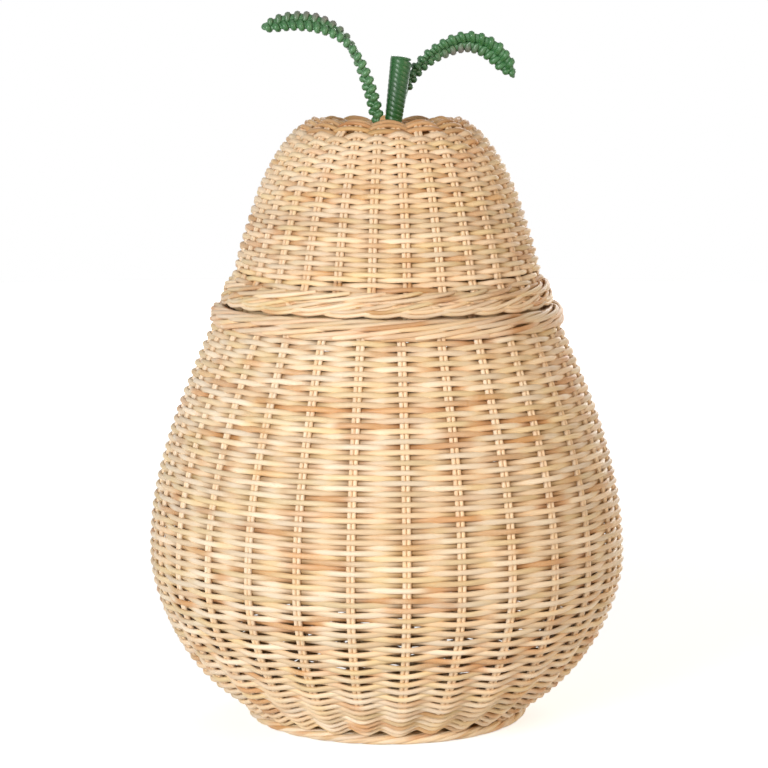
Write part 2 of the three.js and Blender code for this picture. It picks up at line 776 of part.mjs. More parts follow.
function leafFrame({ at, reachAt, start, end, length }) {
  const bend = rodShare * reachAt(end);
  const straight = length - bend;
  const sideCount = 18;
  const runs = Array.from({ length: sideCount + 1 }, (_, i) => (straight * i) / sideCount);
  const side = (sign) => runs.map((run) => at(run, sign * rodShare * reachAt(run), 0));
  const tip = [-Math.PI / 4, 0, Math.PI / 4].map((angle) => {
    return at(straight + bend * Math.cos(angle), bend * Math.sin(angle), 0);
  });
  const bent = [...side(-1), ...tip, ...side(1).reverse()];
  const path = new THREE.CatmullRomCurve3(bent, false, "centripetal");
  const corners = Array.from({ length: caneSides }, (_, i) => {
    const angle = (2 * Math.PI * i) / caneSides;
    return new THREE.Vector2(Math.cos(angle), Math.sin(angle)).multiplyScalar(leafRod / 2);
  });
  return new THREE.ExtrudeGeometry(new THREE.Shape(corners), {
    steps: frameSteps, extrudePath: path, bevelEnabled: false,
  });
}

function leafWinding(leaf, { at, reachAt, start, end }) {
  const steps = loopSteps * leaf.loops;
  const low = start + leafCane;
  const high = end - leafCane;
  const points = [at(start, 0, 0), at(low, 0, 0)];
  for (let i = 0; i <= steps; i++) {
    const angle = (2 * Math.PI * leaf.loops * i) / steps;
    const run = low + leafBend + ((high - low - 2 * leafBend) * i) / steps;
    let eased = angle;
    if (i === 0) eased += leafBendTurn;
    if (i === steps) eased -= leafBendTurn;
    points.push(at(run, reachAt(run) * Math.sin(eased), leafLift * Math.sin(2 * eased)));
  }
  points.push(at(high, 0, 0), at(end, 0, 0));
  return points;
}

const legHoles = [];
for (const leaf of [leafLeft, leafRight]) {
  const shape = leafShape(leaf);
  addPiece(lid, `${leaf.name}_frame`, leafFrame(shape), greenCane);
  const points = leafWinding(leaf, shape);
  console.log(`${leaf.name}_winding: least gap to itself ${leastGap(points, leafCane).toFixed(2)} mm`);
  addPiece(lid, `${leaf.name}_winding`, tube(points, leafCane / 2, caneSides), greenCane);
  for (const side of [-1, 1]) {
    const y = leaf.line[0][1] + side * rodShare * leaf.rootReach;
    legHoles.push([leaf.line[0][0], y, leafRod / 2 + clearance + legMargin]);
  }
}

// The crown's crossed canes, with the ways that the stalk and the leaves go through
const coreHole = coreFootRadius + clearance + hubThickness * Math.tan(radians(stalkLean));
const holePaths = [[stalkFoot, 0, coreHole], ...legHoles].map(([x, y, radius]) => {
  return new THREE.Path().absarc(x, y, radius, 0, 2 * Math.PI, true);
});
addPiece(lid, "crown_cross", crossPlate(holePaths, hubBottom), rattanUpright);

export default model;
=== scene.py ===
"""Looks of the pear-shaped rattan basket: every cane of the basket, its lid, the stalk and the leaves.

Canes are laid in millimetres and their meshes made in metres, as floor, lights and camera are. Angles
are measured round the basket's axis from the front (-Y) towards +X. A wall is a surface of revolution:
a run is a length along its outline, and a depth is measured from its outer surface inwards.
"""

import math

import bpy
import numpy as np
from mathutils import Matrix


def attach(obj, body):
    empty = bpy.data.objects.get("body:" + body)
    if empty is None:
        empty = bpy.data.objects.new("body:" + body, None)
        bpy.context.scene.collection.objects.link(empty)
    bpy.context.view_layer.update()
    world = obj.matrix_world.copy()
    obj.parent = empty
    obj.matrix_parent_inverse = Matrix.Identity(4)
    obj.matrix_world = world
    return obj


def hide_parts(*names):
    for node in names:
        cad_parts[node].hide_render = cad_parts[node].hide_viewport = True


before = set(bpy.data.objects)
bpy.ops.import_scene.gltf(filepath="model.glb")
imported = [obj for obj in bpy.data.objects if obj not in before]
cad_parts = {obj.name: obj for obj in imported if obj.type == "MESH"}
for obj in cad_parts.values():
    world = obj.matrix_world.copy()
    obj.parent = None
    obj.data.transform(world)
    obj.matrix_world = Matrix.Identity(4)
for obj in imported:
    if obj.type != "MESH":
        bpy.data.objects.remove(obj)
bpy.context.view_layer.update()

MM = 0.001
ALL_PHASES = 6.28  # span of the random starts of slow waves

# Cane and the way it lies
STAKE = 3.6
WEAVER = 3.8
PAIRS = 28
GROUPS = PAIRS // 2
STEP = 2 * math.pi / PAIRS
GROUP_STEP = 2 * math.pi / GROUPS
BASKET_TURN = math.radians(4.5)
BASE_TURN = BASKET_TURN + STEP / 2
LID_TURN = math.radians(7.3)
CROWN_TURN = LID_TURN - STEP / 2
MIDDLE = 4.8  # depth of the upright canes' middle, which the pull of the weave sets
REACH = 2.6  # how far a weaver's middle stands off that depth where it passes a cane
PINCH = 0.2  # share of the pitch by which a row is narrower outside a cane and wider inside it
STIFFNESS = 0.85  # how straight a weaver runs from one cane to the next
FLAT_PITCH = 4.0  # pitch of the rows in the base, the collar and the lid's lowest rows
LID_FLARE = 3.0  # how far the lid's lowest rows stand out to meet the border
RIM_FLARE = 1.2  # how far the stakes' ends stand out in the rim

# Unevenness of the hand work
ROWS_IN_AND_OUT, ROWS_UP_AND_DOWN = 0.35, 0.7  # slow waves that neighbouring rows share
OWN_WAVER = ((0.25, 3), (0.2, 7))  # waves of a row by itself: largest size, number round the basket
STRAND_SHIFT, STRAND_LIFT = 0.3, 0.45  # how far a climbing strand lies off its way
STRAND_BULGE, STRAND_ARCH = 0.3, 0.35  # how far it bends away from it

# Rise of the direction that a cane's skin is built from, which mustn't run along the cane
EDGE_TILT, STAKE_TILT = 0.15, -0.3

# Outer shape of the basket and of the lid
FOOT_RADIUS, FOOT_WIDTH, WALL_START = 116, 16, 8
BELLY_RADIUS, BELLY_HEIGHT = 200, 136
NECK_RADIUS, NECK_HEIGHT = 145, 333
UPSETT_END = 63  # run of the last fluted row
SEAM = 352
RIM_ROWS_RADIUS, STAKE_END = 145.8, 9  # the stakes end this far below the seam
BORDER_HEIGHT = 14
COLLAR_OUTER, COLLAR_DROP = 129.2, 11
WALE_FOOT_RADIUS, WALE_FOOT = 132.2, 362.7
LID_FOOT_RADIUS, LID_FOOT = 125.4, 376.7
CREST_RADIUS, CREST, CROWN_DIP = 61.5, 503.5, 5
HUB_RADIUS, HUB_THICKNESS = 34, 7.2
LAYER_STEP, LAYER_RADIUS = 0.6, 14  # how far crossed bundles lie over each other, and out to where
CROWN_WIDTH, FORK_RUN = 46, 28.5
BASE_RADIUS = FOOT_RADIUS - FOOT_WIDTH
BASE_HEIGHT = 6.3
CROWN_HEIGHT = CREST - CROWN_DIP

# Handles (radius, height) that bend the outlines between those places
FOOT_HANDLE, BELLY_LOW_HANDLE = (186.8, 45), (BELLY_RADIUS, 121)
BELLY_HIGH_HANDLE, NECK_HANDLE = (BELLY_RADIUS, 171), (197.9, 229.7)
LID_HANDLE, CREST_OUTER_HANDLE = (111, 474), (69.3, CREST)
CREST_INNER_HANDLE, CROWN_HANDLE = (49.5, CREST), (46, CROWN_HEIGHT)


# Lines and walls


def unit(vectors):
    return vectors / np.linalg.norm(vectors, axis=-1, keepdims=True)


def eased(share):
    """A share between 0 and 1 that starts and ends gently: 3 s^2 - 2 s^3."""
    return share * share * (3 - 2 * share)


def graded(places, stations):
    """Value at each place: given at some places (place, value), with an even change between them."""
    return np.interp(places, *np.array(stations, float).T)


def lengths(points):
    """Length of the line up to each of its points."""
    return np.concatenate([[0], np.cumsum(np.linalg.norm(np.diff(points, axis=0), axis=1))])


def straight(start, end, count=60):
    return np.linspace(start, end, count).astype(float)


def bezier(a, b, c, d, count=300):
    """Points of a cubic curve: the four given points weighted by (1-t)^3, 3(1-t)^2 t, 3(1-t) t^2, t^3."""
    t = np.linspace(0, 1, count)[:, None]
    a, b, c, d = (np.array(p, float) for p in (a, b, c, d))
    return (1 - t) ** 3 * a + 3 * (1 - t) ** 2 * t * b + 3 * (1 - t) * t**2 * c + t**3 * d


def smooth_line(points, count=600):
    """A smooth line through the points: a cubic between each two, with tangents along the chord of the
    points on either side."""
    points = np.array(points, float)
    knots = lengths(points)
    slope = np.gradient(points, knots, axis=0)
    t = np.linspace(0, knots[-1], count)
    i = np.clip(np.searchsorted(knots, t, side="right") - 1, 0, len(knots) - 2)
    width = knots[i + 1] - knots[i]
    u = ((t - knots[i]) / width)[:, None]
    width = width[:, None]
    return ((2 * u**3 - 3 * u**2 + 1) * points[i] + (u**3 - 2 * u**2 + u) * width * slope[i]
            + (3 * u**2 - 2 * u**3) * points[i + 1] + (u**3 - u**2) * width * slope[i + 1])


def round_axis(angle, radius, height, aside=0.0):
    """Point at the angle round the axis: the radius goes along (sin, -cos) and aside along (cos, sin)."""
    x = np.sin(angle) * radius + np.cos(angle) * aside
    y = -np.cos(angle) * radius + np.sin(angle) * aside
    return np.stack(np.broadcast_arrays(x, y, height), axis=-1)


class Wall:
    """A surface of revolution given by the outline of its outer surface, from its foot upwards."""

    def __init__(self, *curves):
        points = np.vstack([curves[0]] + [c[1:] for c in curves[1:]])
        self.run = lengths(points)
        along = unit(np.gradient(points, self.run, axis=0))
        self.radius, self.height = points.T
        self.out, self.up = along[:, 1], -along[:, 0]
        self.length = self.run[-1]

    def row(self, run):
        """Radius, height and outward direction where the outline has the given length."""
        return tuple(np.interp(run, self.run, values)
                     for values in (self.radius, self.height, self.out, self.up))

    def place(self, run, depth, angle, aside=0.0):
        """Point under the outer surface: the outline's point less depth times its outward direction,
        turned round the axis, and moved aside along the tangent."""
        radius, height, out, up = self.row(run)
        return round_axis(angle, radius - out * depth, height - up * depth, aside)

    def outward(self, run, angle):
        """The outward direction there, as a vector."""
        _, _, out, up = self.row(run)
        return round_axis(angle, out, up)


basket_wall = Wall(
    bezier((FOOT_RADIUS, WALL_START), FOOT_HANDLE, BELLY_LOW_HANDLE, (BELLY_RADIUS, BELLY_HEIGHT)),
    bezier((BELLY_RADIUS, BELLY_HEIGHT), BELLY_HIGH_HANDLE, NECK_HANDLE, (NECK_RADIUS, NECK_HEIGHT)),
)
rim_wall = Wall(straight((RIM_ROWS_RADIUS, NECK_HEIGHT), (RIM_ROWS_RADIUS, SEAM)))
lid_wall = Wall(
    bezier((LID_FOOT_RADIUS, LID_FOOT), LID_HANDLE, CREST_OUTER_HANDLE, (CREST_RADIUS, CREST)),
    bezier((CREST_RADIUS, CREST), CREST_INNER_HANDLE, CROWN_HANDLE, (HUB_RADIUS, CROWN_HEIGHT)),
)
wale_wall = Wall(straight((WALE_FOOT_RADIUS, WALE_FOOT), (LID_FOOT_RADIUS, LID_FOOT)))
collar_wall = Wall(straight((COLLAR_OUTER, SEAM - COLLAR_DROP), (COLLAR_OUTER, SEAM + BORDER_HEIGHT)))

# The base's outer surface is its underside, and its outline runs inwards from the foot.
base_wall = Wall(straight((BASE_RADIUS, BASE_HEIGHT), (HUB_RADIUS, BASE_HEIGHT)))
base_wall.out, base_wall.up = np.zeros_like(base_wall.run), -np.ones_like(base_wall.run)


# Meshes of round cane


def ring_squares(rings, sides, closed):
    """Squares between neighbouring rings of a tube's skin, facing outward. In a closed tube the last
    ring joins the first."""
    i = np.arange(rings if closed else rings - 1)[:, None]
    j = np.arange(sides)[None]
    i_next, j_next = (i + 1) % rings, (j + 1) % sides
    corners = (i * sides + j, i * sides + j_next, i_next * sides + j_next, i_next * sides + j)
    return np.stack(corners, axis=-1)


def end_fans(strands, rings, sides):
    """Triangles that close both ends of every tube. Their middle points follow all the rings: those of
    the starts first, then those of the ends."""
    first = np.arange(strands)[:, None] * rings * sides
    last = first + (rings - 1) * sides
    start_middle = strands * rings * sides + np.arange(strands)[:, None]
    here, following = np.arange(sides), (np.arange(sides) + 1) % sides
    starts = np.broadcast_arrays(start_middle, first + following, first + here)
    ends = np.broadcast_arrays(start_middle + strands, last + here, last + following)
    return np.vstack([np.stack(fan, axis=-1).reshape(-1, 3) for fan in (starts, ends)])


def canes(paths, outward, thick, wide=None, closed=False, sides=8, seed=0, wear_and_shade=0.0):
    """Tubes along many paths at once. A point of the skin is the path's point, plus cos(v) times half
    the thickness along the outward direction, plus sin(v) times half the width square to it and to
    the path. paths has the shape (strands, points, 3)."""
    paths = np.asarray(paths, float)
    if paths.ndim == 2:
        paths = paths[None]
    strands, count, _ = paths.shape
    if closed:
        tangent = np.roll(paths, -1, axis=1) - np.roll(paths, 1, axis=1)
    else:
        tangent = np.gradient(paths, axis=1)
    tangent = unit(tangent)
    outward = np.broadcast_to(outward, paths.shape)
    normal = unit(outward - (outward * tangent).sum(-1, keepdims=True) * tangent)
    across = np.cross(tangent, normal)

    def half(size):
        return np.broadcast_to(np.asarray(size, float), (strands, count))[..., None, None] / 2

    v = 2 * np.pi * np.arange(sides) / sides
    skin = (paths[:, :, None]
            + half(thick) * np.cos(v)[:, None] * normal[:, :, None]
            + half(thick if wide is None else wide) * np.sin(v)[:, None] * across[:, :, None])
    offset = (np.arange(strands) * count * sides)[:, None, None]
    quads = (ring_squares(count, sides, closed).reshape(1, -1, 4) + offset).reshape(-1, 4)

    step = np.linalg.norm(np.diff(paths, axis=1), axis=-1)
    along = np.concatenate([np.zeros((strands, 1)), np.cumsum(step, axis=1)], axis=1) * MM
    tone = np.random.default_rng(seed).random(strands)
    data = np.broadcast_arrays(tone[:, None, None], along[:, :, None], v / (2 * np.pi))
    data = np.stack(data, axis=-1).reshape(-1, 3)
    wear_and_shade = np.repeat(np.broadcast_to(wear_and_shade, (strands, count)).reshape(-1), sides)

    verts, tris = skin.reshape(-1, 3), np.zeros((0, 3), int)
    if not closed:
        first = np.arange(strands) * count * sides
        last = first + (count - 1) * sides
        verts = np.vstack([verts, paths[:, 0], paths[:, -1]])
        data = np.vstack([data, data[first], data[last]])
        wear_and_shade = np.concatenate([wear_and_shade, wear_and_shade[first], wear_and_shade[last]])
        tris = end_fans(strands, count, sides)
    return {"verts": verts, "quads": quads, "tris": tris, "data": data, "wear_and_shade": wear_and_shade}


def dressed(name, blocks, material, body, nodes=()):
    """One mesh of all the blocks, in metres. The attribute cane holds each cane's tone, the length
    along it and the share of the way round it, and the second attribute says where painted shade
    darkens it and where its dye is thin."""
    sizes = np.cumsum([0] + [len(b["verts"]) for b in blocks])
    verts = np.vstack([b["verts"] for b in blocks]) * MM
    quads = np.vstack([b["quads"] + s for b, s in zip(blocks, sizes)])
    tris = np.vstack([b["tris"] + s for b, s in zip(blocks, sizes)])
    corners = np.concatenate([quads.ravel(), tris.ravel()]).astype(np.int32)
    starts = np.concatenate([4 * np.arange(len(quads)), 4 * len(quads) + 3 * np.arange(len(tris))])
    mesh = bpy.data.meshes.new(name)
    mesh.vertices.add(len(verts))
    mesh.vertices.foreach_set("co", verts.astype(np.float32).ravel())
    mesh.loops.add(len(corners))
    mesh.loops.foreach_set("vertex_index", corners)
    mesh.polygons.add(len(starts))
    mesh.polygons.foreach_set("loop_start", starts.astype(np.int32))
    mesh.polygons.foreach_set("use_smooth", np.ones(len(starts), bool))
    mesh.update(calc_edges=True)
    data = mesh.attributes.new("cane", "FLOAT_VECTOR", "POINT").data
    data.foreach_set("vector", np.vstack([b["data"] for b in blocks]).astype(np.float32).ravel())
    wear_and_shade = mesh.attributes.new("wear_and_shade", "FLOAT", "POINT").data
    wear_and_shade.foreach_set("value", np.concatenate([b["wear_and_shade"] for b in blocks]).astype(np.float32))
    mesh.materials.append(material)
    piece = bpy.data.objects.new(name, mesh)
    bpy.context.scene.collection.objects.link(piece)
    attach(piece, body)
    if nodes:
        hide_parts(*nodes)


# Materials


def put(tree, kind, values=(), **settings):
    """A node with its settings, and with its inputs set to values or linked to other nodes' outputs."""
    node = tree.nodes.new(kind)
    for key, value in settings.items():
        setattr(node, key, value)
    for key, value in dict(values).items():
        if isinstance(value, bpy.types.NodeSocket):
            tree.links.new(value, node.inputs[key])
        else:
            node.inputs[key].default_value = value
    return node


def maths(tree, operation, *values):
    return put(tree, "ShaderNodeMath", dict(enumerate(values)), operation=operation).outputs[0]


def vector_maths(tree, operation, *values):
    return put(tree, "ShaderNodeVectorMath", dict(enumerate(values)), operation=operation).outputs[0]


def mix(tree, share, one, two, blend="MIX"):
    values = {"Factor": share, 6: one, 7: two}
    return put(tree, "ShaderNodeMix", values, data_type="RGBA", blend_type=blend).outputs[2]


def rgb(red, green, blue):
    """A colour as it looks on the screen, turned into the linear values that shaders use."""
    values = np.array([red, green, blue]) / 255
    linear = np.where(values <= 0.04045, values / 12.92, ((values + 0.055) / 1.055) ** 2.4)
    return (*linear.tolist(), 1.0)


# Stretches of another colour: noise per metre, its shift from the others, and the noise at which the
# colour starts and at which it is full
STRETCHES = {
    "Straw": (11.0, 2.0, 0.46, 0.60),
    "Pale": (18.0, 9.0, 0.44, 0.62),
    "Brown": (13.0, 5.0, 0.54, 0.67),
}
STREAKS_ALONG, STREAKS_ROUND, STREAKS_APART = 60.0, 14.0, 300.0
APART = (37.0, 53.0, 71.0)  # spreads the canes through the noise, so that none repeats another


def cane_grain():
    """Each cane has its own shade, which drifts along it, and fine streaks run with it. Stretches of
    three other colours lie over the plain one, each where a slow noise of its own is high."""
    group = bpy.data.node_groups.new("cane_grain", "ShaderNodeTree")
    for label in ("Plain", *STRETCHES):
        group.interface.new_socket(label, in_out="INPUT", socket_type="NodeSocketColor")
    for label in (*(f"{stretch} share" for stretch in STRETCHES), "Spread"):
        group.interface.new_socket(label, in_out="INPUT", socket_type="NodeSocketFloat")
    for label, kind in (("Color", "Color"), ("Height", "Float"), ("Roughness shift", "Float")):
        group.interface.new_socket(label, in_out="OUTPUT", socket_type=f"NodeSocket{kind}")
    given = group.nodes.new("NodeGroupInput").outputs
    cane = put(group, "ShaderNodeAttribute", attribute_name="cane").outputs["Vector"]
    parts = put(group, "ShaderNodeSeparateXYZ", {"Vector": cane}).outputs
    tone, along, way_round = parts["X"], parts["Y"], parts["Z"]
    place = put(group, "ShaderNodeTexCoord").outputs["Object"]
    own = put(group, "ShaderNodeTexWhiteNoise", {"W": tone}, noise_dimensions="1D").outputs
    spot = vector_maths(group, "ADD", place, vector_maths(group, "MULTIPLY", own["Color"], APART))

    colour = given["Plain"]
    for label, (scale, shift, low, high) in STRETCHES.items():
        moved = vector_maths(group, "ADD", spot, (shift, shift, shift))
        noise = put(group, "ShaderNodeTexNoise", {"Vector": moved, "Scale": scale, "Detail": 2.0})
        values = {"Value": noise.outputs[0], "From Min": low, "From Max": high}
        span = put(group, "ShaderNodeMapRange", values, interpolation_type="SMOOTHSTEP")
        share = maths(group, "MULTIPLY", span.outputs["Result"], given[f"{label} share"])
        colour = mix(group, share, colour, given[label])

    streak = put(group, "ShaderNodeCombineXYZ", {
        "X": maths(group, "MULTIPLY", along, STREAKS_ALONG),
        "Y": maths(group, "MULTIPLY", way_round, STREAKS_ROUND),
        "Z": maths(group, "MULTIPLY", tone, STREAKS_APART),
    }).outputs[0]
    fine = put(group, "ShaderNodeTexNoise", {"Vector": streak, "Scale": 1.0, "Detail": 3.0}).outputs[0]
    shade = maths(group, "ADD", maths(group, "ADD", own["Value"], fine), -1.0)
    level = maths(group, "MULTIPLY_ADD", shade, given["Spread"], 1.0)
    tinted = put(group, "ShaderNodeVectorMath", {0: colour, "Scale": level}, operation="SCALE").outputs[0]
    out = group.nodes.new("NodeGroupOutput").inputs
    group.links.new(tinted, out["Color"])
    group.links.new(fine, out["Height"])
    group.links.new(maths(group, "ADD", fine, -0.5), out["Roughness shift"])
    return group


def blank_material(name):
    material = bpy.data.materials.new(name)
    material.use_nodes = True
    tree = material.node_tree
    return material, tree, tree.nodes["Principled BSDF"]


SATIN, POLISHED = 0.48, 0.42  # roughness of peeled and of dyed cane
ROUGHNESS_SPREAD, GRAIN_STRENGTH, GRAIN_DEPTH = 0.25, 0.25, 0.0002


def cane_finish(name, colours, shares, spread, roughness, marked, blend):
    """Grained cane, turned to the marked colour where the second attribute says so: painted shade on
    peeled cane, thin dye on dyed cane.
    """
    material, tree, shader = blank_material(name)
    grain = tree.nodes.new("ShaderNodeGroup")
    grain.node_tree = grain_group
    labels = ("Plain", *STRETCHES, *(f"{stretch} share" for stretch in STRETCHES), "Spread")
    for label, value in zip(labels, (*colours, *shares, spread)):
        grain.inputs[label].default_value = value
    wear_and_shade = put(tree, "ShaderNodeAttribute", attribute_name="wear_and_shade").outputs["Fac"]
    tree.links.new(mix(tree, wear_and_shade, grain.outputs["Color"], marked, blend), shader.inputs["Base Color"])
    rough = maths(tree, "MULTIPLY_ADD", grain.outputs["Roughness shift"], ROUGHNESS_SPREAD, roughness)
    tree.links.new(rough, shader.inputs["Roughness"])
    bump = put(tree, "ShaderNodeBump", {
        "Strength": GRAIN_STRENGTH, "Distance": GRAIN_DEPTH, "Height": grain.outputs["Height"]})
    tree.links.new(bump.outputs[0], shader.inputs["Normal"])
    shader.inputs["Specular IOR Level"].default_value = 0.4
    return material


def rattan(name, colours, shares, spread, roughness=SATIN):
    """Peeled cane: satin, cream, with straw-coloured, pale and warm brown stretches, and darkened
    towards brown by painted shade where it passes inside another cane."""
    return cane_finish(name, colours, shares, spread, roughness, SHADE_TINT, "MULTIPLY")


def painted(name, colours, shares, bare):
    """Cane dyed green under a thin varnish, with greyed stretches where the dye is thin."""
    material = cane_finish(name, colours, shares, 0.35, POLISHED, bare, "MIX")
    shader = material.node_tree.nodes["Principled BSDF"]
    shader.inputs["Coat Weight"].default_value = 0.35
    shader.inputs["Coat Roughness"].default_value = 0.25
    return material


grain_group = cane_grain()
PLAIN, STRAW, PALE, BROWN = rgb(243, 214, 176), rgb(237, 212, 156), rgb(255, 239, 215), rgb(206, 141, 74)
SHADE_TINT = (0.44, 0.34, 0.22, 1)  # painted shade: how much of each colour is kept on a cane's hidden stretches, darkened as in shade

# Each cane: its plain, straw, pale and brown colour, the shares of the last three, and how far single
# canes' shades spread
weave_cane = rattan("weave_cane", (PLAIN, STRAW, PALE, BROWN), (0.6, 0.75, 0.75), 0.28)
rim_cane = rattan("rim_cane", (rgb(238, 204, 168), STRAW, PALE, BROWN), (0.5, 0.5, 0.8), 0.26)
upright_cane = rattan("upright_cane", (rgb(250, 222, 186), STRAW, PALE, BROWN), (0.2, 0.7, 0.15), 0.08)
lid_upright_cane = rattan("lid_upright_cane", (rgb(243, 214, 178), STRAW, PALE, BROWN),
                          (0.3, 0.4, 0.3), 0.12)
lid_cane = rattan("lid_cane", (rgb(240, 210, 173), STRAW, rgb(255, 236, 210), rgb(205, 142, 80)),
                  (0.7, 0.55, 0.7), 0.28)
# the crown's canes are darker and more tan: partly their own colour, partly painted shade of the
# upward-facing top
crown_cane = rattan("crown_cane",
                    (rgb(213, 167, 117), rgb(209, 173, 112), rgb(231, 195, 153), rgb(180, 119, 68)),
                    (0.6, 0.5, 0.8), 0.26, roughness=0.5)
stalk_cane = painted("stalk_cane", (rgb(25, 89, 31), rgb(19, 77, 27), rgb(60, 121, 64), rgb(17, 65, 23)),
                     (0.5, 0.5, 0.6), rgb(112, 106, 106))
leaf_cane = painted("leaf_cane", (rgb(57, 110, 61), rgb(45, 96, 52), rgb(104, 150, 106), rgb(34, 80, 45)),
                    (0.5, 0.6, 0.6), rgb(126, 118, 117))


# Ways to weave

RING_POINTS = 12  # points of a rope between one stake pair and the next


def ripple(run, angle, size, seed):
    """A slow hand-made unevenness, the same for neighbouring rows: a sum of four long waves."""
    waves = np.random.default_rng(seed)
    total = 0.0
    for _ in range(4):
        turns, rows, phase = waves.integers(2, 9), waves.uniform(0.01, 0.05), waves.uniform(0, ALL_PHASES)
        total = total + np.sin(turns * angle + rows * run + phase)
    return size * total / 4


def around(count, per_cane):
    """Angles round the ring, starting at the back."""
    total = count * per_cane
    return -np.pi + 2 * np.pi * np.arange(total) / total


def straightened(wave):
    """A wave between -1 and 1 that runs nearly straight from one to the other, as a stiff cane does:
    the arc sine of the wave, scaled back to 1."""
    return np.arcsin(STIFFNESS * wave) / np.arcsin(STIFFNESS)


def lengthened(wave):
    """A wave between -1 and 1 that stays longer near both, for a cane that passes four others at once:
    tanh of twice the wave, scaled back to 1."""
    return np.tanh(2 * wave) / np.tanh(2)


def randing(wall, runs, count, turn, pitch, reach=REACH, flute=0.0, per_cane=10, bend=straightened,
            seed=1, first=0, loose=1.0, flare=0.0, fill=1.2, sag=0.0, shade=0.0):
    """Plain weave. A row passes outside one cane and inside the next, and the rows take turns: its
    depth is the wall's middle less the reach times a bent cosine of half a turn per cane. The flute
    is how much deeper the whole row lies between two canes, the flare how far it stands out, and the
    sag how much lower it lies where it passes a cane than between two. A row is as wide as the fill
    times the pitch, narrower where it passes outside and wider inside, by the pinch times the cube of
    the wave. Painted shade darkens it where it passes inside, and the shade adds painted shade to the
    whole row."""
    angle = around(count, per_cane)[None]
    runs, pitch, reach, flute, flare, fill, sag, shade = (
        np.reshape(values, (-1, 1)) for values in (runs, pitch, reach, flute, flare, fill, sag, shade))
    cane = (angle - turn) * count / (2 * np.pi)
    side = np.where((np.arange(len(runs)) + first) % 2 == 0, 1.0, -1.0)[:, None]
    wave = side * bend(np.cos(np.pi * cane))
    between = (1 - np.cos(2 * np.pi * cane)) / 2
    depth = MIDDLE - flare - reach * wave + flute * between
    depth = depth + loose * ripple(runs, angle, ROWS_IN_AND_OUT, seed + 50)
    own = np.random.default_rng(seed + 7)
    waver = 0.0
    for size, waves in OWN_WAVER:
        height = own.uniform(-size, size, runs.shape)
        waver = waver + height * np.sin(waves * angle + own.uniform(0, ALL_PHASES, runs.shape))
    along = runs - sag * (1 - between)
    along = along + loose * (ripple(runs, angle, ROWS_UP_AND_DOWN, seed + 90) + waver)
    wide = (fill - PINCH * wave**3) * pitch
    # painted shade: darker where the row passes inside a cane, and the shade adds to it over the whole
    # row
    painted_shade = shade + (1 - shade) * ((1 - wave) / 2) ** 5
    return canes(wall.place(along, depth, angle), wall.outward(along, angle), WEAVER, wide,
                 closed=True, seed=seed, wear_and_shade=painted_shade)


# the last argument darkens the whole rope with painted shade
def rope(centre, half_width, half_height, strands, turns=1, canes_at=(0,), turn=0.0, seed=0, painted_shade=0.0):
    """Strands wound round a ring. A cane's middle lies on an ellipse round the ring's middle line, at
    an angle that grows by the turns for one way round the basket, so it climbs on the outside. A
    strand has a cane at each place named in canes_at, in shares of the space between two strands."""
    angle = around(PAIRS, RING_POINTS)[None]
    radius, height = centre
    number = np.repeat(np.arange(strands), len(canes_at))[:, None]
    share = np.tile(canes_at, strands)[:, None]
    round_angle = turns * (angle - turn) + 2 * np.pi * (number + share) / strands
    across, up = np.cos(round_angle), np.sin(round_angle)
    paths = round_axis(angle, radius + across * half_width, height + up * half_height)
    outward = unit(round_axis(angle, across / half_width, up / half_height))
    return canes(paths, outward, WEAVER, closed=True, seed=seed, wear_and_shade=painted_shade)


def climbing(stations, turn, seed, apart=(0,), thick=3.6, wide=3.7, count=56):
    """Strands laid one after another round an edge. Each starts behind an upright pair, climbs to the
    right over the next ones and goes in again. Its way is a smooth line through stations of
    (intervals gone round, radius, height); its canes lie apart from the way, square to it."""
    steps, radius, height = np.array(stations, float).T
    interval = STEP * radius.max()
    way = smooth_line(np.stack([steps * interval, radius, height], axis=-1), count)
    along = unit(np.gradient(way, axis=0))
    square = unit(np.stack([-along[:, 2], 0 * along[:, 1], along[:, 0]], axis=-1))
    shake = np.random.default_rng(seed)

    def by_chance(size):
        return shake.uniform(-size, size, (PAIRS, 1))

    bends = np.sin(np.linspace(0, 2 * np.pi, count))[None]
    lift = by_chance(STRAND_LIFT)
    paths, outward = [], []
    for side in apart:
        gone, radius, height = (way + side * square).T
        angle = turn + (np.arange(PAIRS)[:, None] + gone / interval) * STEP
        radius = radius + by_chance(STRAND_SHIFT) + by_chance(STRAND_BULGE) * bends
        height = height + lift + by_chance(STRAND_ARCH) * bends
        paths.append(round_axis(angle, radius, height))
        outward.append(round_axis(angle, 1.0, EDGE_TILT))
    return canes(np.concatenate(paths), np.concatenate(outward), thick, wide, seed=seed)


def rows_between(start, end, pitches):
    """Lengths along a wall at which the rows lie, and their pitch: the pitch is given at some lengths
    and changes evenly between them, and a whole number of rows fills the span."""
    fine = np.linspace(start, end, 2000)
    pitch = graded(fine, pitches)
    rows = np.concatenate([[0], np.cumsum(np.diff(fine) * (1 / pitch[1:] + 1 / pitch[:-1]) / 2)])
    count = round(rows[-1])
    runs = np.interp((np.arange(count) + 0.5) * rows[-1] / count, rows, fine)
    return runs, np.gradient(runs)


def uprights(wall, runs, depth, turn, seed):
    """A pair of canes at each place round the wall, which follow it at the depth."""
    angle = np.repeat(turn + STEP * np.arange(PAIRS), 2)[:, None]
    aside = np.tile((-STAKE / 2, STAKE / 2), PAIRS)[:, None]
    path = wall.place(runs[None], depth, angle, aside)
    return canes(path, wall.outward(runs[None], angle), STAKE, seed=seed)


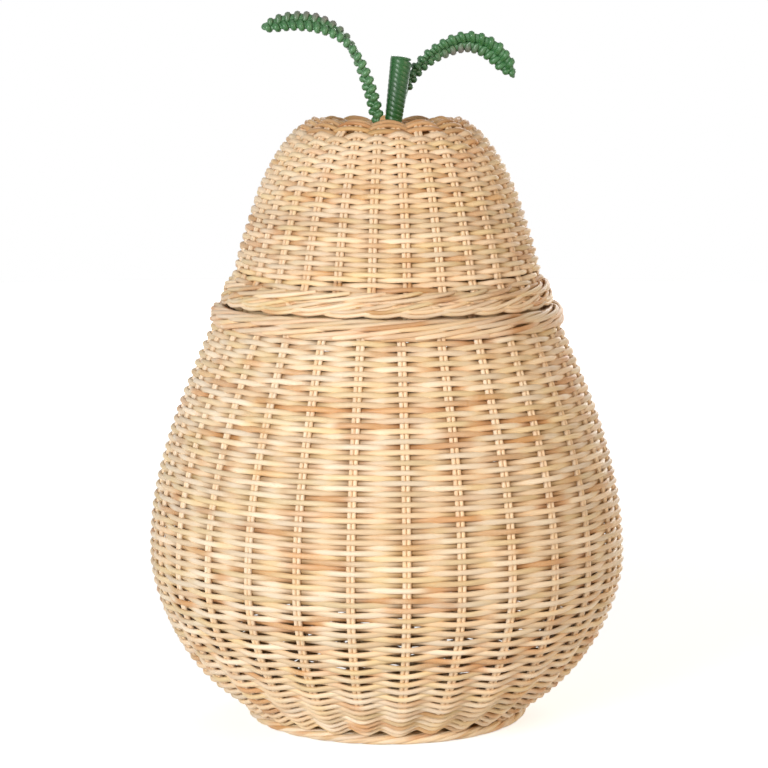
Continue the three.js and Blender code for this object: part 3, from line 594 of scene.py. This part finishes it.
def forked(wall, runs, fork, full, angle, seed, flare=0.0):
    """Four canes side by side, which part into two pairs between the runs fork and full."""
    radius, _, out, _ = wall.row(runs)
    depth = MIDDLE - flare + 0 * runs
    near = np.arcsin(np.clip(STAKE / (radius - out * depth), -1, 1))
    spread = near + (STEP / 2 - near) * eased(np.clip((runs - fork) / (full - fork), 0, 1))
    outward = wall.outward(runs, angle)
    blocks = []
    for side in (-1, 1):
        for number, aside in enumerate((-STAKE / 2, STAKE / 2)):
            path = wall.place(runs, depth, angle + side * spread, aside)
            blocks.append(canes(path, outward, STAKE, seed=seed + 2 * (side + 1) + number))
    return blocks


def hub_cross(middle, turn, seed):
    """Seven flat bundles of four canes that cross over each other. A bundle's height above the middle
    is its own layer times a bell curve of the radius."""
    half = HUB_RADIUS + 1
    along = np.linspace(-half, half, 41)
    blocks = []
    for bundle in range(GROUPS // 2):
        layer = (bundle - GROUPS // 4) * LAYER_STEP * np.exp(-((along / LAYER_RADIUS) ** 4))
        for number in range(4):
            aside = (number - 1.5) * STAKE
            line = along * np.sqrt(half**2 - aside**2) / half
            path = round_axis(turn + bundle * GROUP_STEP, line, middle + layer, aside)
            blocks.append(canes(path, np.array([0, 0, 1.0]), STAKE, seed=seed + 4 * bundle + number))
    return blocks


# The basket
BASKET_PITCH = [(0, 3.7), (45, 3.8), (56, 4.3), (70, 4.4), (122, 4.35), (175, 4.2), (224, 4.15),
                (275, 4.15), (366, 4.18)]
basket_runs, basket_pitch = rows_between(0.5, basket_wall.length, BASKET_PITCH)
neck_run = basket_wall.length
WALL_FLARE = [(0, 1.8), (24, 0), (neck_run - 45, 0), (neck_run, 1.6)]  # next to the foot and the rim
FLUTE_DEPTH, FLUTE_END, FLUTE_SPAN = 1.8, 130, 70
basket_flute = FLUTE_DEPTH * np.clip((FLUTE_END - basket_runs) / FLUTE_SPAN, 0, 1) ** 1.5
basket_reach = graded(basket_runs, [(50, REACH), (80, 3.0), (110, 3.0), (170, REACH)])
basket_fill = graded(basket_runs, [(50, 1.2), (80, 1.12), (110, 1.12), (170, 1.2),
                                   (neck_run - 110, 1.2), (neck_run - 60, 1.28)])
basket_sag = graded(basket_runs, [(5, 3.0), (45, 0)])

# The side's rows make three pieces, so that none has too many triangles.
side_parts = np.array_split(np.flatnonzero(basket_runs >= UPSETT_END), 3)
wall_pieces = [
    ("side_weave_1", ["side_weave"], side_parts[0]),
    ("side_weave_2", [], side_parts[1]),
    ("side_weave_3", [], side_parts[2]),
    ("upsett_canes", ["upsett_weave"], np.flatnonzero(basket_runs < UPSETT_END)),
]
for number, (name, nodes, chosen) in enumerate(wall_pieces):
    runs = basket_runs[chosen]
    rows = randing(basket_wall, runs, PAIRS, BASKET_TURN, basket_pitch[chosen], basket_reach[chosen],
                   basket_flute[chosen], seed=11 + number, first=int(chosen[0]),
                   flare=graded(runs, WALL_FLARE), fill=basket_fill[chosen], sag=basket_sag[chosen])
    dressed(name, [rows], weave_cane, "basket", nodes)

foot_blocks = [
    rope((112.3, 4.3), half_width=4.6, half_height=2.4, strands=4, turns=7, canes_at=(-0.13, 0.13),
         turn=BASKET_TURN, seed=31),
    rope((112.0, 4.3), half_width=2.0, half_height=0.6, strands=2, seed=32),  # fills its middle
    # closes the gap to the base; darkened all over with painted shade, as it lies in shadow behind the
    # foot
    rope((104.5, 7.6), half_width=4.6, half_height=0.8, strands=4, seed=33, painted_shade=1.0),
]
dressed("foot_border_canes", foot_blocks, weave_cane, "basket", ["foot_border"])

LOWER_RIM_WAY = [
    (-0.3, 138.0, 334.6), (0.05, 141.5, 334.5), (0.4, 144.9, 334.9), (0.8, 146.0, 336.0),
    (1.3, 146.0, 337.9), (1.8, 145.4, 339.9), (2.1, 143.6, 341.0), (2.4, 140.0, 341.8),
]
UPPER_RIM_WAY = [
    (-0.3, 137.0, 341.8), (0.05, 140.8, 341.7), (0.4, 144.6, 342.0), (0.8, 145.6, 342.8),
    (1.3, 145.5, 344.1), (1.8, 144.6, 345.6), (2.25, 142.4, 346.9), (2.7, 139.5, 346.8),
    (3.3, 137.6, 345.4), (3.8, 136.0, 343.0),
]
rim_blocks = [
    climbing(LOWER_RIM_WAY, BASKET_TURN, 41, thick=3.8, wide=4.1),
    climbing(UPPER_RIM_WAY, BASKET_TURN + STEP / 2, 42, thick=3.7, wide=4.0),
    # closes the rim's inside
    rope((137.2, 340.2), half_width=1.7, half_height=6.4, strands=8, seed=43),
    # a last row, between the wall's rows and the strands
    randing(rim_wall, [2.3], PAIRS, BASKET_TURN, pitch=4.1, reach=2.2, first=len(basket_runs), seed=44,
            flare=2.0, loose=0.3, fill=1.7),
]
dressed("rim_border_canes", rim_blocks, rim_cane, "basket", ["rim_border"])

pair_runs = np.linspace(0, neck_run, 70)
pair_depth = MIDDLE - graded(pair_runs, WALL_FLARE)
for number in range(PAIRS):
    angle = BASKET_TURN + number * STEP
    outward = round_axis(angle, 1.0, STAKE_TILT)
    blocks = []
    for side, aside in enumerate((-STAKE / 2, STAKE / 2)):
        path = np.vstack([
            base_wall.place(0.0, MIDDLE, angle, aside),
            basket_wall.place(pair_runs, pair_depth, angle, aside),
            rim_wall.place(rim_wall.length - STAKE_END, MIDDLE - RIM_FLARE, angle, aside),
        ])
        blocks.append(canes(path, outward, STAKE, seed=100 + 2 * number + side))
    name = f"stake_pair_{number + 1:02d}"
    dressed(f"{name}_canes", blocks, upright_cane, "basket", [name])

# The base, with lengths from the hub
BASE_FORK, BASE_FULL = 20, 40
GROUP_ROWS, PAIR_ROWS = np.arange(2.2, 26, FLAT_PITCH), np.arange(28, 65, FLAT_PITCH)
base_end = base_wall.length
spoke_runs = base_end - np.linspace(0, base_end, 30)
base_blocks = []
for number in range(GROUPS):
    base_blocks += forked(base_wall, spoke_runs, base_end - BASE_FORK, base_end - BASE_FULL,
                          BASE_TURN + number * GROUP_STEP, 300 + 4 * number)
base_blocks += [
    randing(base_wall, base_end - GROUP_ROWS, GROUPS, BASE_TURN, FLAT_PITCH, per_cane=20,
            bend=lengthened, seed=51),
    randing(base_wall, base_end - PAIR_ROWS, PAIRS, BASKET_TURN, FLAT_PITCH, seed=52),
]
dressed("base_weave_canes", base_blocks, weave_cane, "basket", ["base_weave"])
dressed("base_cross_canes", hub_cross(BASE_HEIGHT + MIDDLE, BASE_TURN, 700), upright_cane,
        "basket", ["base_cross"])


# The lid
crown_start = lid_wall.length - CROWN_WIDTH
LID_PITCH = [(0, 3.9), (45, 4.0), (80, 4.3), (115, 4.35), (150, 4.25)]
CROWN_PITCH = [(0, 3.75)]
FOOT_FLARE = [(0, LID_FLARE), (45, 0)]
lid_runs, lid_pitch = rows_between(0.5, crown_start, LID_PITCH)
lid_rows = randing(lid_wall, lid_runs, PAIRS, LID_TURN, lid_pitch, reach=2.9, seed=61,
                   flare=graded(lid_runs, FOOT_FLARE),
                   fill=graded(lid_runs, [(crown_start - 10, 1.2), (crown_start, 1.5)]),
                   # painted shade over whole rows, growing towards the crown, where the rows face upward
                   # and take less light
                   shade=graded(lid_runs, [(crown_start - 45, 0), (crown_start, 0.24)]))
dressed("lid_weave_canes", [lid_rows], lid_cane, "lid", ["lid_weave"])

crown_runs, crown_pitch = rows_between(crown_start, lid_wall.length - 1, CROWN_PITCH)
crown_flute = graded(lid_wall.length - crown_runs, [(0, 1.0), (20, 1.6), (32, 1.9), (46, 0.8)])
crown_rows = randing(lid_wall, crown_runs, GROUPS, CROWN_TURN, crown_pitch, reach=2.5, flute=crown_flute,
                     per_cane=24, bend=lengthened, seed=62,
                     # the crown's rows carry painted shade over their whole length as well
                     fill=graded(crown_runs, [(crown_start, 1.55), (crown_start + 9, 1.15)]), shade=0.12)
dressed("crown_weave_canes", [crown_rows], crown_cane, "lid", ["crown_weave"])

BORDER_WAY = [
    (-0.35, 128.5, 358.6), (-0.05, 131.8, 357.6), (0.2, 135.2, 355.2), (0.5, 136.9, 353.3),
    (0.85, 137.2, 353.0), (1.25, 136.9, 354.7), (1.7, 136.0, 357.3), (2.1, 134.0, 359.5),
    (2.4, 130.7, 361.1), (2.7, 126.8, 362.0),
]
LID_WALE_WAY = [
    (-0.3, 125.0, 361.6), (0.05, 129.2, 361.5), (0.4, 133.3, 362.0), (0.8, 134.9, 363.1),
    (1.3, 134.4, 364.8), (1.8, 133.3, 366.6), (2.1, 131.4, 367.7), (2.4, 127.2, 368.7),
]
border_blocks = [
    climbing(BORDER_WAY, LID_TURN + STEP / 2, 64, apart=(-1.65, 1.65), thick=3.4, wide=3.5),
    # closes the border's inside
    rope((129.6, 358.0), half_width=1.9, half_height=4.5, strands=6, seed=65),
]
dressed("lid_border_canes", border_blocks, lid_cane, "lid", ["lid_border"])
wale_blocks = [
    climbing(LID_WALE_WAY, LID_TURN, 63),
    randing(wale_wall, wale_wall.length - np.array([10.0, 6.0, 2.0]), PAIRS, LID_TURN, FLAT_PITCH,
            reach=[1.8, 2.5, 2.5], first=1, seed=67, flare=[2.2, LID_FLARE, LID_FLARE]),
    uprights(wale_wall, np.linspace(0.5, wale_wall.length, 6), MIDDLE - LID_FLARE, LID_TURN, 801),
]
dressed("lid_wale_canes", wale_blocks, lid_cane, "lid", ["lid_wale"])

collar_blocks = [
    randing(collar_wall, 2.0 + 4.1 * np.arange(6), PAIRS, LID_TURN, FLAT_PITCH, seed=66),
    uprights(collar_wall, np.linspace(0.5, collar_wall.length - 0.5, 6), MIDDLE, LID_TURN, 800),
]
dressed("lid_collar_canes", collar_blocks, lid_cane, "lid", ["lid_collar"])

stake_runs = lid_wall.length - np.linspace(0.5, lid_wall.length, 60)
for number in range(GROUPS):
    blocks = forked(lid_wall, stake_runs, lid_wall.length - FORK_RUN, crown_start,
                    CROWN_TURN + number * GROUP_STEP, 400 + 4 * number, graded(stake_runs, FOOT_FLARE))
    name = f"lid_stakes_{number + 1:02d}"
    dressed(f"{name}_canes", blocks, lid_upright_cane, "lid", [name])

hub_middle = CROWN_HEIGHT - MIDDLE
hub_top, hub_bottom = hub_middle + HUB_THICKNESS / 2, hub_middle - HUB_THICKNESS / 2
dressed("crown_cross_canes", hub_cross(hub_middle, CROWN_TURN, 740), lid_upright_cane,
        "lid", ["crown_cross"])


# Stalk
STALK_FOOT, STALK_LEAN, STALK_TOP = 4.8, math.radians(7.5), 552.7
STALK_RADIUS, STALK_TOP_RADIUS = 7.1, 9.1
STALK_CANE, STALK_CANE_WIDTH, STALK_LAP = 1.9, 5.8, 1.85
WINDING_TILT = 2.9
stalk_length = (STALK_TOP - hub_top) / math.cos(STALK_LEAN)


def stalk_place(x, y, height):
    """Point of the stalk's own space, leaning towards +X and set on the crown."""
    lean, up = math.sin(STALK_LEAN), math.cos(STALK_LEAN)
    x, height = STALK_FOOT + x * up + height * lean, hub_top - x * lean + height * up
    return np.stack(np.broadcast_arrays(x, y, height), axis=-1)


def wound_stalk():
    """One flat-sided cane wound round the core: the radius grows with the height, and each turn lies
    lower on one side by the tilt times the cosine of its angle."""
    climb = stalk_length - STALK_CANE_WIDTH
    turns = climb / (STALK_CANE_WIDTH - STALK_LAP)
    share = np.linspace(0, 1, int(turns * 28))
    angle = -2 * np.pi * turns * share
    tilt = WINDING_TILT * np.sin(np.pi * share) ** 0.5
    height = STALK_CANE_WIDTH / 2 + climb * share - tilt * np.cos(angle)
    radius = STALK_RADIUS + (STALK_TOP_RADIUS - STALK_RADIUS) * share**0.8 - STALK_CANE / 2
    path = stalk_place(radius * np.cos(angle), radius * np.sin(angle), height)
    outward = stalk_place(np.cos(angle), np.sin(angle), 0.0) - stalk_place(0.0, 0.0, 0.0)
    return canes(path, outward, STALK_CANE, STALK_CANE_WIDTH, sides=10, seed=71)


def stalk_core():
    """A lathe turned about the stalk's own axis: bound end, shank, and a slightly domed flat head."""
    below, top = -HUB_THICKNESS, stalk_length
    outline = np.array([
        (0.05, below - 14), (5, below - 14), (6.8, below - 12), (6.8, below - 1.5), (4.2, below - 1),
        (4.2, 1), (5.8, top - 4), (8.3, top - 1.7), (8.0, top - 0.6), (4.0, top + 0.3), (0.05, top + 0.4),
    ])
    sides = 28
    spin = 2 * np.pi * np.arange(sides) / sides
    radius, height = outline.T[:, :, None]
    skin = stalk_place(radius * np.cos(spin), radius * np.sin(spin), height)
    verts = np.vstack([skin.reshape(-1, 3), stalk_place(0, 0, outline[[0, -1], 1])])
    quads = ring_squares(len(outline), sides, closed=False).reshape(-1, 4)
    data = np.tile((0.4, 0.0, 0.0), (len(verts), 1))
    return {"verts": verts, "quads": quads, "tris": end_fans(1, len(outline), sides), "data": data,
            "wear_and_shade": np.zeros(len(verts))}


dressed("stalk_core_canes", [stalk_core()], stalk_cane, "lid", ["stalk_core"])
dressed("stalk_winding_canes", [wound_stalk()], stalk_cane, "lid", ["stalk_winding"])


# Leaves: the line through the middle, the turns of the winding, the length of bare rod, half the width
# at the root and in the middle (the tip's is a share of the way between them), where the dye is worn
# and over how much of the length, and how far the plane is rolled, in degrees, at shares of the length
LEAVES = {
    "leaf_left": {
        "line": [(-8, 0, 500), (-9.8, 0, 510), (-14.5, 0, 527), (-23.5, 0, 550), (-37, 0, 569.5),
                 (-54, 0, 579), (-76, 0, 582), (-102, 0, 577)],
        "loops": 20, "bare": 0, "root": 4.6, "middle": 7.4, "tip": -0.5, "wear_and_shade": (0.68, 0.22),
        "rolls": [(0, 52), (0.3, 40), (0.5, 0), (0.72, -58), (1, -58)],
    },
    "leaf_right": {
        "line": [(10.5, 17, 500), (12.5, 17, 512), (17.5, 17, 531), (27, 16, 544.5), (45, 14, 558),
                 (69, 11, 565), (85, 9, 559.5), (97, 8, 548), (105, 7, 536)],
        "loops": 16, "bare": 27, "root": 4.6, "middle": 8.4, "tip": -0.9, "wear_and_shade": (0.52, 0.15),
        "rolls": [(0, -15), (0.3, -30), (0.55, -62), (1, -72)],
    },
}
LEG_LENGTH, TIP_LENGTH = 9, 2.2  # of the rod, below the crown and beyond the winding
WINDING_START = 2.5  # middle of the winding's first turn, from where it begins
ROLL_IN = 10  # length of winding over which the leaf's plane comes to its full roll
ROD_THICK, ROD_SHARE, ROD_EXTRA = 3.4, 0.48, 0.6  # its sides lie at this share of half the width
LEAF_CANE, LEAF_CANE_WIDTH, LEAF_CANE_OFF = 3.9, 5.2, 2.3
WORN_MOST, WORN_GROWTH = 0.88, 1.4


def leaf(name, line, loops, bare, root, middle, tip, rolls, wear_and_shade):
    """A hairpin of rod, and one cane woven round its two sides in a figure of eight: sideways it goes
    with the sine of its angle, and off the leaf's plane with the sine of twice that angle."""
    below = (line[0][0], line[0][1], hub_bottom - LEG_LENGTH)
    curve = smooth_line([below] + list(line))
    run = lengths(curve)
    slopes = np.gradient(curve, run, axis=0)
    length = run[-1]
    start, end = hub_top - below[2] + bare, length - TIP_LENGTH

    def on_line(values, where):
        return np.stack([np.interp(where, run, values[:, k]) for k in range(3)], axis=-1)

    def at(where, sideways=0.0, off=0.0):
        """Point of the leaf, with the directions off its plane and across it. The plane rolls about
        the leaf's line, by the full angle once it is clear of the crown."""
        where = np.asarray(where, float)
        along = unit(on_line(slopes, where))
        flat = unit(np.array([0, 1.0, 0]) - along * along[..., 1:2])
        out = np.cross(along, flat)
        fade = eased(np.clip((where - start + bare) / (bare + ROLL_IN), 0, 1))
        roll = (np.radians(graded(where / length, rolls)) * fade)[..., None]
        across = flat * np.cos(roll) + out * np.sin(roll)
        out = np.cross(along, across)
        sideways, off = (np.broadcast_to(v, where.shape)[..., None] for v in (sideways, off))
        return on_line(curve, where) + across * sideways + out * off, out, across

    def half_width(where):
        share = np.clip((where - start) / (end - start), 0, 1)
        swell = graded(share, [(0, 0), (0.25, 0.2), (0.5, 0.75), (0.8, 1), (0.92, 0.6), (1, tip)])
        return root + (middle - root) * swell

    bend = ROD_SHARE * half_width(end)
    legs = np.linspace(0, length - bend, 60)
    turn = np.linspace(-np.pi / 2, np.pi / 2, 13)[1:-1]
    hairpin = np.concatenate([legs, legs[-1] + bend * np.cos(turn), legs[::-1]])
    beside = ROD_SHARE * half_width(legs)
    rods = at(hairpin, np.concatenate([-beside, bend * np.sin(turn), beside[::-1]]))[0]
    rod_out = at(np.minimum(hairpin, legs[-1]))[1]
    rod_wide = ROD_EXTRA + 2 * ROD_SHARE * half_width(hairpin)
    rod = canes(rods, rod_out, ROD_THICK, rod_wide, seed=81)

    angle = np.linspace(0, 2 * np.pi * loops, 28 * loops)
    where = np.linspace(start + WINDING_START, end, len(angle))
    path, out, across = at(where, half_width(where) * np.sin(angle), LEAF_CANE_OFF * np.sin(2 * angle))
    outward = unit(across * np.sin(angle)[:, None] + out * 0.9 * np.sin(2 * angle)[:, None] + 1e-3)
    strength = np.exp(-((((where - start) / (end - start) - wear_and_shade[0]) / wear_and_shade[1]) ** 2))
    bare_spots = WORN_MOST * strength * np.clip(WORN_GROWTH * np.sin(angle), 0, 1)
    winding = canes(path, outward, LEAF_CANE, LEAF_CANE_WIDTH, seed=82, wear_and_shade=bare_spots)
    dressed(f"{name}_frame_rod", [rod], leaf_cane, "lid", [f"{name}_frame"])
    dressed(f"{name}_winding_cane", [winding], leaf_cane, "lid", [f"{name}_winding"])


for name, values in LEAVES.items():
    leaf(name, **values)


# Floor, lights and camera
FLOOR_WHITE = (0.86, 0.86, 0.86, 1)
FLOOR_RADIUS, FLOOR_SIDES = 4, 64
GLOW_NEAR, GLOW_FAR = (0.5, 0.62), (3.0, 1.0)  # distance from the basket and strength there
DIM, FULL = 0.16, 1.0  # the surroundings as light on the basket, and as seen
WARM = (1.0, 0.79, 0.56)


def is_seen(tree):
    """1 where the ray comes from the camera, or by way of a reflection or clear matter; else 0."""
    rays = tree.nodes.new("ShaderNodeLightPath").outputs
    seen = maths(tree, "MAXIMUM", rays["Is Camera Ray"], rays["Is Glossy Ray"])
    return maths(tree, "MAXIMUM", seen, rays["Is Transmission Ray"])


def floor_material(name):
    """Pale floor: where it is seen it glows, more strongly far from the basket than near it, so that
    it holds the shadow and its edge doesn't show."""
    material, tree, shader = blank_material(name)
    shader.inputs["Base Color"].default_value = FLOOR_WHITE
    shader.inputs["Roughness"].default_value = 0.9
    shader.inputs["Specular IOR Level"].default_value = 0.1
    place = put(tree, "ShaderNodeTexCoord").outputs["Object"]
    radius = put(tree, "ShaderNodeVectorMath", {0: place}, operation="LENGTH").outputs["Value"]
    strength = put(tree, "ShaderNodeMapRange", {
        "Value": radius, "From Min": GLOW_NEAR[0], "From Max": GLOW_FAR[0],
        "To Min": GLOW_NEAR[1], "To Max": GLOW_FAR[1],
    }, interpolation_type="SMOOTHSTEP").outputs["Result"]
    glow = put(tree, "ShaderNodeEmission", {"Color": (1, 1, 1, 1), "Strength": strength}).outputs[0]
    plain = shader.outputs[0]
    both = put(tree, "ShaderNodeAddShader", {0: plain, 1: glow}).outputs[0]
    lit = put(tree, "ShaderNodeMixShader", {0: is_seen(tree), 1: plain, 2: both}).outputs[0]
    tree.links.new(lit, tree.nodes["Material Output"].inputs["Surface"])
    return material


def floor():
    """A flat disc, built as a ring of points round its middle."""
    spin = 2 * np.pi * np.arange(FLOOR_SIDES) / FLOOR_SIDES
    edge = np.stack([FLOOR_RADIUS * np.cos(spin), FLOOR_RADIUS * np.sin(spin), 0 * spin], axis=-1)
    ring = np.arange(FLOOR_SIDES)
    faces = np.stack([0 * ring, ring + 1, (ring + 1) % FLOOR_SIDES + 1], axis=-1)
    mesh = bpy.data.meshes.new("floor")
    mesh.from_pydata(np.vstack([[0, 0, 0], edge]).tolist(), [], faces.tolist())
    mesh.materials.append(floor_material("floor_white"))
    made = bpy.data.objects.new("floor", mesh)
    bpy.context.scene.collection.objects.link(made)
    return made


def area_light(name, place, target, size, power, colour=(1, 1, 1)):
    light = bpy.data.lights.new(name, "AREA")
    light.shape, light.size, light.energy, light.color = "DISK", size, power, colour
    made = bpy.data.objects.new(name, light)
    bpy.context.scene.collection.objects.link(made)
    made.location = place
    aim = np.array(target) - np.array(place)
    made.rotation_euler = (
        math.atan2(math.hypot(aim[0], aim[1]), -aim[2]), 0, math.atan2(aim[0], -aim[1]) + math.pi)


floor()
area_light("key", (-1.4, -2.35, 0.95), (0, 0, 0.28), size=1.2, power=54)
area_light("fill", (2.15, -1.5, 1.3), (0, 0, 0.34), size=1.8, power=24, colour=WARM)
area_light("back", (1.2, 4.3, 1.5), (0, 0, 0.28), size=3.2, power=90)

world = bpy.data.worlds.new("studio")
bpy.context.scene.world = world
world.use_nodes = True
sky = world.node_tree
level = put(sky, "ShaderNodeMapRange", {"Value": is_seen(sky), "To Min": DIM, "To Max": FULL})
sky.nodes["Background"].inputs["Color"].default_value = (1, 1, 1, 1)
sky.links.new(level.outputs["Result"], sky.nodes["Background"].inputs["Strength"])

CAMERA_PLACE = (-0.0025, -2.2, 0.57)
CAMERA_TARGET = 0.28  # height on the basket's axis
camera_data = bpy.data.cameras.new("camera")
camera_data.lens, camera_data.sensor_width = 123.9, 36
camera = bpy.data.objects.new("camera", camera_data)
bpy.context.scene.collection.objects.link(camera)
camera.location = CAMERA_PLACE
camera_dip = math.atan2(CAMERA_PLACE[2] - CAMERA_TARGET, -CAMERA_PLACE[1])
camera.rotation_euler = (math.pi / 2 - camera_dip, 0, 0)
bpy.context.scene.camera = camera

bpy.context.scene.view_settings.view_transform = "Standard"
